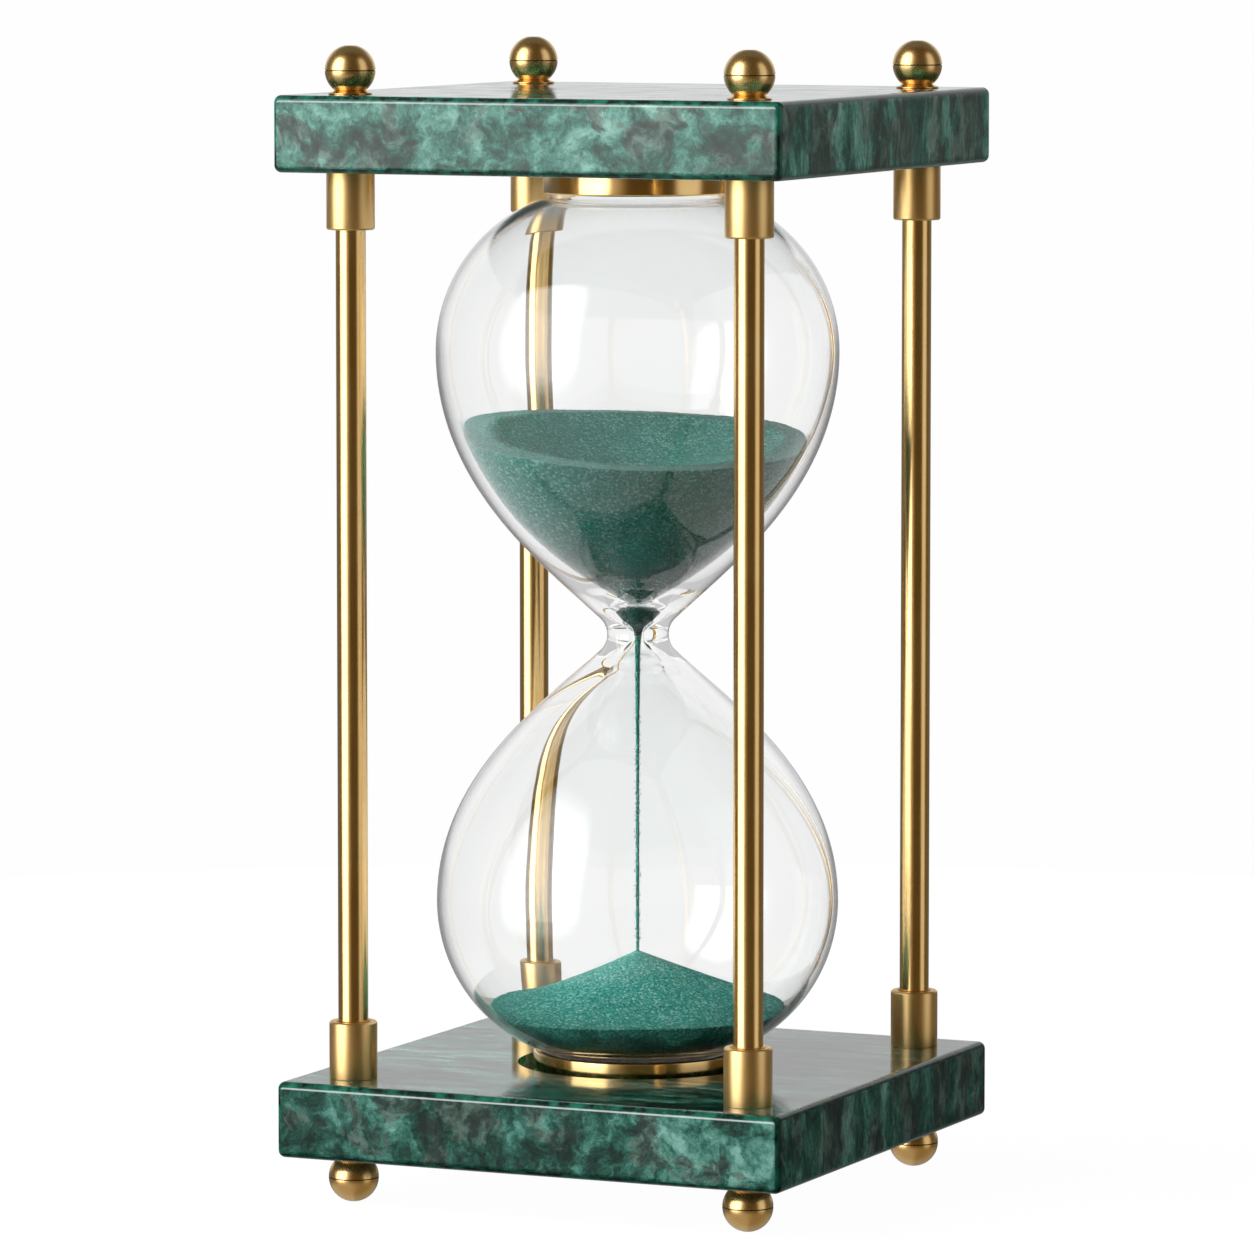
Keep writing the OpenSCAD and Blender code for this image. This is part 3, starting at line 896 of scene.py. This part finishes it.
def make_pads(look):
    """Cork pads with slightly ragged rims."""
    rng = np.random.default_rng(5)
    for node in ("lower_pad", "upper_pad"):
        low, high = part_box(node)
        r = radius(node)
        ragged = rng.uniform(-0.12, 0.0, 4096) * MM

        def nibble(p, z, a):
            """Takes a crumb from the rim, another at each turn and height."""
            k = int(a * 400 + z * 90000) % len(ragged)
            return (p + ragged[k], z) if p > r * 0.9 else (p, z)

        steps = 6
        side = [(r, low.z + (high.z - low.z) * i / steps) for i in range(steps + 1)]
        outline = [(0, low.z), (r * 0.5, low.z), *side, (r * 0.5, high.z), (0, high.z)]
        piece = lathe(node + ".disc", outline, look, (0, 0), 220, closed=False, nudge=nibble, sharp=40)
        dress(piece, node, "stand")


# ---------------------------------------------------------------- glass


def cubic(p, count):
    """Points along a cubic curve, without its two ends."""
    made = []
    for i in range(1, count):
        t = i / count
        s = 1 - t
        w = (s * s * s, 3 * s * s * t, 3 * s * t * t, t * t * t)
        made.append(tuple(sum(w[k] * p[k][j] for k in range(4)) for j in (0, 1)))
    return made


def wall_outline(inside, neck_top, fine=3):
    """One side of the glass's wall, from its lower end to the top of its neck. inside is how far
    it lies within the outer surface."""
    hollow = inside > 0
    r = BELLY_R - inside
    mid_r = THROAT_R + WALL - inside if hollow else WAIST_R
    bend_r = THROAT_BEND_R - WALL + inside if hollow else WAIST_BEND_R
    bend = THROAT_BEND if hollow else WAIST_BEND
    lean = FUNNEL_LEAN if hollow else WAIST_BEND
    pull = INNER_PULL if hollow else OUTER_PULL
    reach = THROAT_REACH if hollow else bend_r * math.sin(bend)
    run = reach - bend_r * math.sin(bend)
    end_r = mid_r + bend_r * (1 - math.cos(bend)) + run * math.tan(bend)
    low_c = (BELLY_R - LOWER_SHOULDER_R, LOWER_BELLY_Z)
    high_c = (BELLY_R - UPPER_SHOULDER_R, UPPER_BELLY_Z)

    def flank(z, side):
        """The curve from a belly at height z to the waist. side is 1 above the waist."""
        h = abs(z - WAIST_Z)
        end = (end_r, WAIST_Z + side * reach)
        last = (end[0] + pull[1] * h * math.sin(lean), end[1] + side * pull[1] * h * math.cos(lean))
        return [(r, z), (r, z - side * pull[0] * h), last, end]

    def cone(side):
        """The straight run of the throat, from its far end in."""
        if not hollow:
            return []
        start = (mid_r + bend_r * (1 - math.cos(bend)), WAIST_Z + side * bend_r * math.sin(bend))
        end = (end_r, WAIST_Z + side * reach)
        count = 4 * fine
        return [tuple(end[j] + (start[j] - end[j]) * i / count for j in (0, 1)) for i in range(count)]

    fillet_dr = NECK_R + NECK_FILLET_R - high_c[0]
    fillet_dz = math.sqrt((UPPER_SHOULDER_R + NECK_FILLET_R) ** 2 - fillet_dr ** 2)
    fillet_a = math.atan2(fillet_dz, fillet_dr)
    fillet_c = (high_c[0] + fillet_dr, high_c[1] + fillet_dz)
    return [
        (0, LOWER_BELLY_Z - (LOWER_SHOULDER_R - inside)),
        *arc(low_c, LOWER_SHOULDER_R - inside, -math.pi / 2, 0, 16 * fine),
        *cubic(flank(LOWER_BELLY_Z, -1), 16 * fine),
        *cone(-1),
        *arc((mid_r + bend_r, WAIST_Z), bend_r, math.pi + bend, math.pi - bend, 10 * fine),
        *reversed(cone(1)),
        *reversed(cubic(flank(UPPER_BELLY_Z, 1), 16 * fine)),
        *arc(high_c, UPPER_SHOULDER_R - inside, 0, fillet_a, 14 * fine),
        *arc(fillet_c, NECK_FILLET_R + inside, math.pi + fillet_a, math.pi, 5 * fine)[1:],
        (NECK_R - inside, neck_top),
    ]


def make_glass(outer_look, inner_look):
    """One blown piece, a little out of round at its waist. Its faces come ring by ring, the outer
    side's first, and the inner side's have a material of their own."""
    ceiling = GLASS_HIGH.z - NECK_END
    outer = wall_outline(0, GLASS_HIGH.z)
    inner = wall_outline(WALL, ceiling)
    outline = [*outer, (FILLER_R, GLASS_HIGH.z), (FILLER_R, ceiling), *reversed(inner)]

    def wobble(r, z, a):
        """Moves the outer surface in and out round the waist."""
        near = math.exp(-(((z - WAIST_Z) / (9 * MM)) ** 2))
        if r > 3 * MM and near > 0.01:
            lobes = math.sin(3 * a + 0.7) + 0.6 * math.sin(5 * a + z / (4 * MM))
            r += 0.1 * MM * near * lobes * min(1, (r - 3 * MM) / (4 * MM))
        return r, z

    count = 256
    piece = lathe("glass.blown", outline, outer_look, (0, 0), count, closed=False, nudge=wobble, sharp=50)
    piece.data.materials.append(inner_look)
    for face in piece.data.polygons[len(outer) * count:]:
        face.material_index = 1
    dress(piece, "glass", "stand")


def make_stopper(look):
    """A tapered rubber stopper in the filler hole."""
    low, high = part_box("stopper")
    r = radius("stopper")
    outline = rounded([
        (0, low.z), (r - 0.8 * MM, low.z), (r, low.z + 1 * MM), (r, high.z), (0, high.z),
    ], 0.2 * MM, 3)
    dress(lathe("stopper.plug", outline, look, (0, 0), 96, closed=False), "stopper", "stand")


# ---------------------------------------------------------------- sand

GRAIN = 0.11 * MM
CRATER_D = 11 * MM
CRATER_FLAT_R = 4 * MM
CRATER_R = BELLY_R - WALL - 14 * MM
RIDGE_H = 0.5 * MM
RIDGE_OUT = 1.5 * MM
RIDGE_W = 2.2 * MM
RIM_RISE = 54 * MM
SADDLE = 1.13 * MM
LEAN = (math.radians(4.3), math.radians(2))
LEAN_TURN = math.radians(24)
FOOT_RISE = 14.8 * MM
# How far the pile's flank sags below a cone (1), and how that changes towards one side
PILE_SAG = 1.19
PILE_SAG_CHANGE = -0.14
PILE_SAG_TURN = AZIMUTH
STREAM_TAPER = 0.63


def hollow_radius():
    """A function that gives the sand's radius at any height, up to its highest possible rim."""
    ceiling = UPPER_BELLY_Z + 30 * MM
    outline = wall_outline(WALL + SAND_GAP, GLASS_HIGH.z - NECK_END, 6)
    radii, heights = np.array([p for p in outline if p[1] < ceiling]).T
    return lambda z: np.interp(z, heights, radii)


def ring_ways(count):
    """Angles round a ring, and the direction of each."""
    turn = np.arange(count) * 2 * np.pi / count
    return turn, np.stack([np.cos(turn), np.sin(turn)], 1)


def unevenness(turn, seed, first, height):
    """Gentle waves round a ring, from first waves a turn up to 13."""
    waves = np.random.default_rng(seed).uniform(0, 2 * np.pi, 6)
    return sum(np.sin(k * turn + waves[k % 6]) / k for k in range(first, 14)) * height


def lean_plane():
    """Slopes of the upper sand's rim along x and y."""
    lean = Vector((0, 0, 1))
    lean.rotate(Euler((LEAN[0], LEAN[1], 0)))
    lean.rotate(Euler((0, 0, LEAN_TURN)))
    return -lean.x / lean.z, -lean.y / lean.z


def sheet_of_rings(name, rings, look, seed, grain):
    """Skins a stack of rings of points, ends closed, with every point moved a little as a grain."""
    rng = np.random.default_rng(seed)
    count = rings[0].shape[0]
    mesh = bmesh.new()
    made = []
    for ring in rings:
        span = np.linalg.norm(ring[1] - ring[0])
        push = rng.uniform(-1, 1, (count, 3)) * min(grain, span * 0.45)
        made.append([mesh.verts.new(p) for p in ring + push])
    for low, high in zip(made, made[1:]):
        for i in range(count):
            j = (i + 1) % count
            mesh.faces.new((low[i], low[j], high[j], high[i]))
    for ring in (made[0], made[-1]):
        middle = mesh.verts.new(sum((v.co for v in ring), Vector()) / count)
        for i in range(count):
            mesh.faces.new((ring[i], ring[(i + 1) % count], middle))
    return finish_mesh(name, mesh, look, 180)


def make_sand_upper(look):
    """Sand above the waist, with a leaning rim and a crater."""
    radius_at = hollow_radius()
    turn, ways = ring_ways(560)
    slope = ways @ np.array(lean_plane())
    ripple = unevenness(turn, 3, 3, 0.2 * MM) + SADDLE * np.cos(2 * (turn - LEAN_TURN))
    mean_z = WAIST_Z + RIM_RISE
    rim_z = np.full(len(turn), mean_z)
    settling = 8
    for _ in range(settling):
        rim_z = mean_z + radius_at(rim_z) * slope + ripple
    rim_r = radius_at(rim_z)
    rings = []
    rows = 92
    for i in range(rows + 1):
        t = (i / rows) ** 0.85
        z = WAIST_Z + (rim_z - WAIST_Z) * t
        r = radius_at(z) - GRAIN
        rings.append(np.column_stack([ways * r[:, None], z]))
    rows = 78
    for i in range(1, rows):
        share = 1 - i / rows
        r = (rim_r - GRAIN) * share
        fall = np.clip((CRATER_R - r) / (CRATER_R - CRATER_FLAT_R), 0, 1)
        fall = 0.75 * fall + 0.25 * fall * fall * (3 - 2 * fall)
        ridge = RIDGE_H * np.exp(-(((r - CRATER_R - RIDGE_OUT) / RIDGE_W) ** 2))
        z = mean_z + r * slope + ripple * share
        rings.append(np.column_stack([ways * r[:, None], z - CRATER_D * fall + ridge]))
    dress(sheet_of_rings("sand_upper.grains", rings, look, 11, GRAIN), "sand_upper", "stand")


def make_sand_lower(look):
    """The pile in the lower bulb, a little steeper on one side."""
    radius_at = hollow_radius()
    low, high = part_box("sand_lower")
    floor_z = low.z + 0.25 * MM
    foot_z = GLASS_LOW.z + FOOT_RISE
    foot_r = float(radius_at(foot_z))
    tip_r = radius("sand_stream") * STREAM_TAPER
    turn, ways = ring_ways(520)
    ripple = unevenness(turn, 8, 2, 0.25 * MM)
    rings = []
    rows = 44
    for i in range(1, rows + 1):
        t = i / rows
        z = floor_z + (foot_z + ripple - floor_z) * t ** 1.6
        r = radius_at(z) - GRAIN
        rings.append(np.column_stack([ways * r[:, None], z]))
    rows = 84
    for i in range(1, rows + 1):
        share = 1 - i / rows
        r = tip_r + (foot_r - GRAIN - tip_r) * share
        climb = (1 - share) ** (PILE_SAG + PILE_SAG_CHANGE * np.cos(turn - PILE_SAG_TURN))
        z = foot_z + (high.z - foot_z) * climb + ripple * share
        rings.append(np.column_stack([ways * r, z]))
    dress(sheet_of_rings("sand_lower.grains", rings, look, 12, GRAIN), "sand_lower", "stand")


def make_stream(look):
    """The falling sand: a ragged thread with loose grains beside it."""
    low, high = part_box("sand_stream")
    top_r = radius("sand_stream")
    low_r = top_r * STREAM_TAPER
    rng = np.random.default_rng(21)
    mesh = bmesh.new()
    rows, count = 300, 14
    rings = []
    for i in range(rows + 1):
        t = i / rows
        r = top_r * 0.93 + (low_r * 0.8 - top_r * 0.93) * min(1, t * 3) ** 0.6
        z = high.z + (low.z - high.z) * t
        ring = []
        for k in range(count):
            a = 2 * math.pi * k / count
            rr = r * (1 + rng.uniform(-0.12, 0.14))
            ring.append(mesh.verts.new((rr * math.cos(a), rr * math.sin(a), z)))
        rings.append(ring)
    for upper, lower in zip(rings, rings[1:]):
        for k in range(count):
            j = (k + 1) % count
            mesh.faces.new((upper[k], upper[j], lower[j], lower[k]))
    mesh.faces.new(rings[0])
    mesh.faces.new(rings[-1])
    for _ in range(260):
        t = rng.uniform(0.06, 0.97)
        z = high.z + (low.z - high.z) * t
        a = rng.uniform(0, 2 * math.pi)
        r = rng.uniform(0.7, 1.0) * top_r
        size = rng.uniform(0.10, 0.2) * MM
        made = bmesh.ops.create_icosphere(mesh, subdivisions=1, radius=size)
        for v in made["verts"]:
            v.co = v.co * rng.uniform(0.75, 1.25) + Vector((r * math.cos(a), r * math.sin(a), z))
    dress(finish_mesh("sand_stream.thread", mesh, look, 180), "sand_stream", "stand")


# ---------------------------------------------------------------- the whole


def make_slabs():
    """The CAD slabs keep their shape and get their stone."""
    for node, look in (
        ("base_plate", marble("marble.base", (0.31, 0.17, 0.0), 0.1, 0.06, 0.6)),
        ("top_plate", marble("marble.top", (0.92, 0.55, 0.4), 0.8, 0.30, 0.4)),
    ):
        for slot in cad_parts[node].material_slots:
            slot.material = look


make_camera()
make_light()
make_floor()
make_slabs()
make_posts(brass("brass.post", DRAWN, 0.23))
make_sleeves(brass("brass.sleeve", TURNED, 0.37))
make_balls(brass("brass.ball", POLISHED, 0.27), seam_shade())
make_foot_collars(brass("brass.turned", TURNED, 0.26))
make_rings(brass("brass.ring", TURNED, 0.17))
make_tie_rods(steel())
make_pads(cork())
make_glass(clear_glass("glass.outer", 0.24), clear_glass("glass.inner", 1.0))
make_stopper(rubber())
make_sand_upper(sand("sand.upper", WAIST_Z + 34 * MM, WAIST_Z + 16 * MM, CRATER_R))
make_sand_lower(sand("sand.lower", GLASS_LOW.z + FOOT_RISE - 1 * MM, GLASS_LOW.z + FOOT_RISE - 6 * MM))
make_stream(sand("sand.stream"))
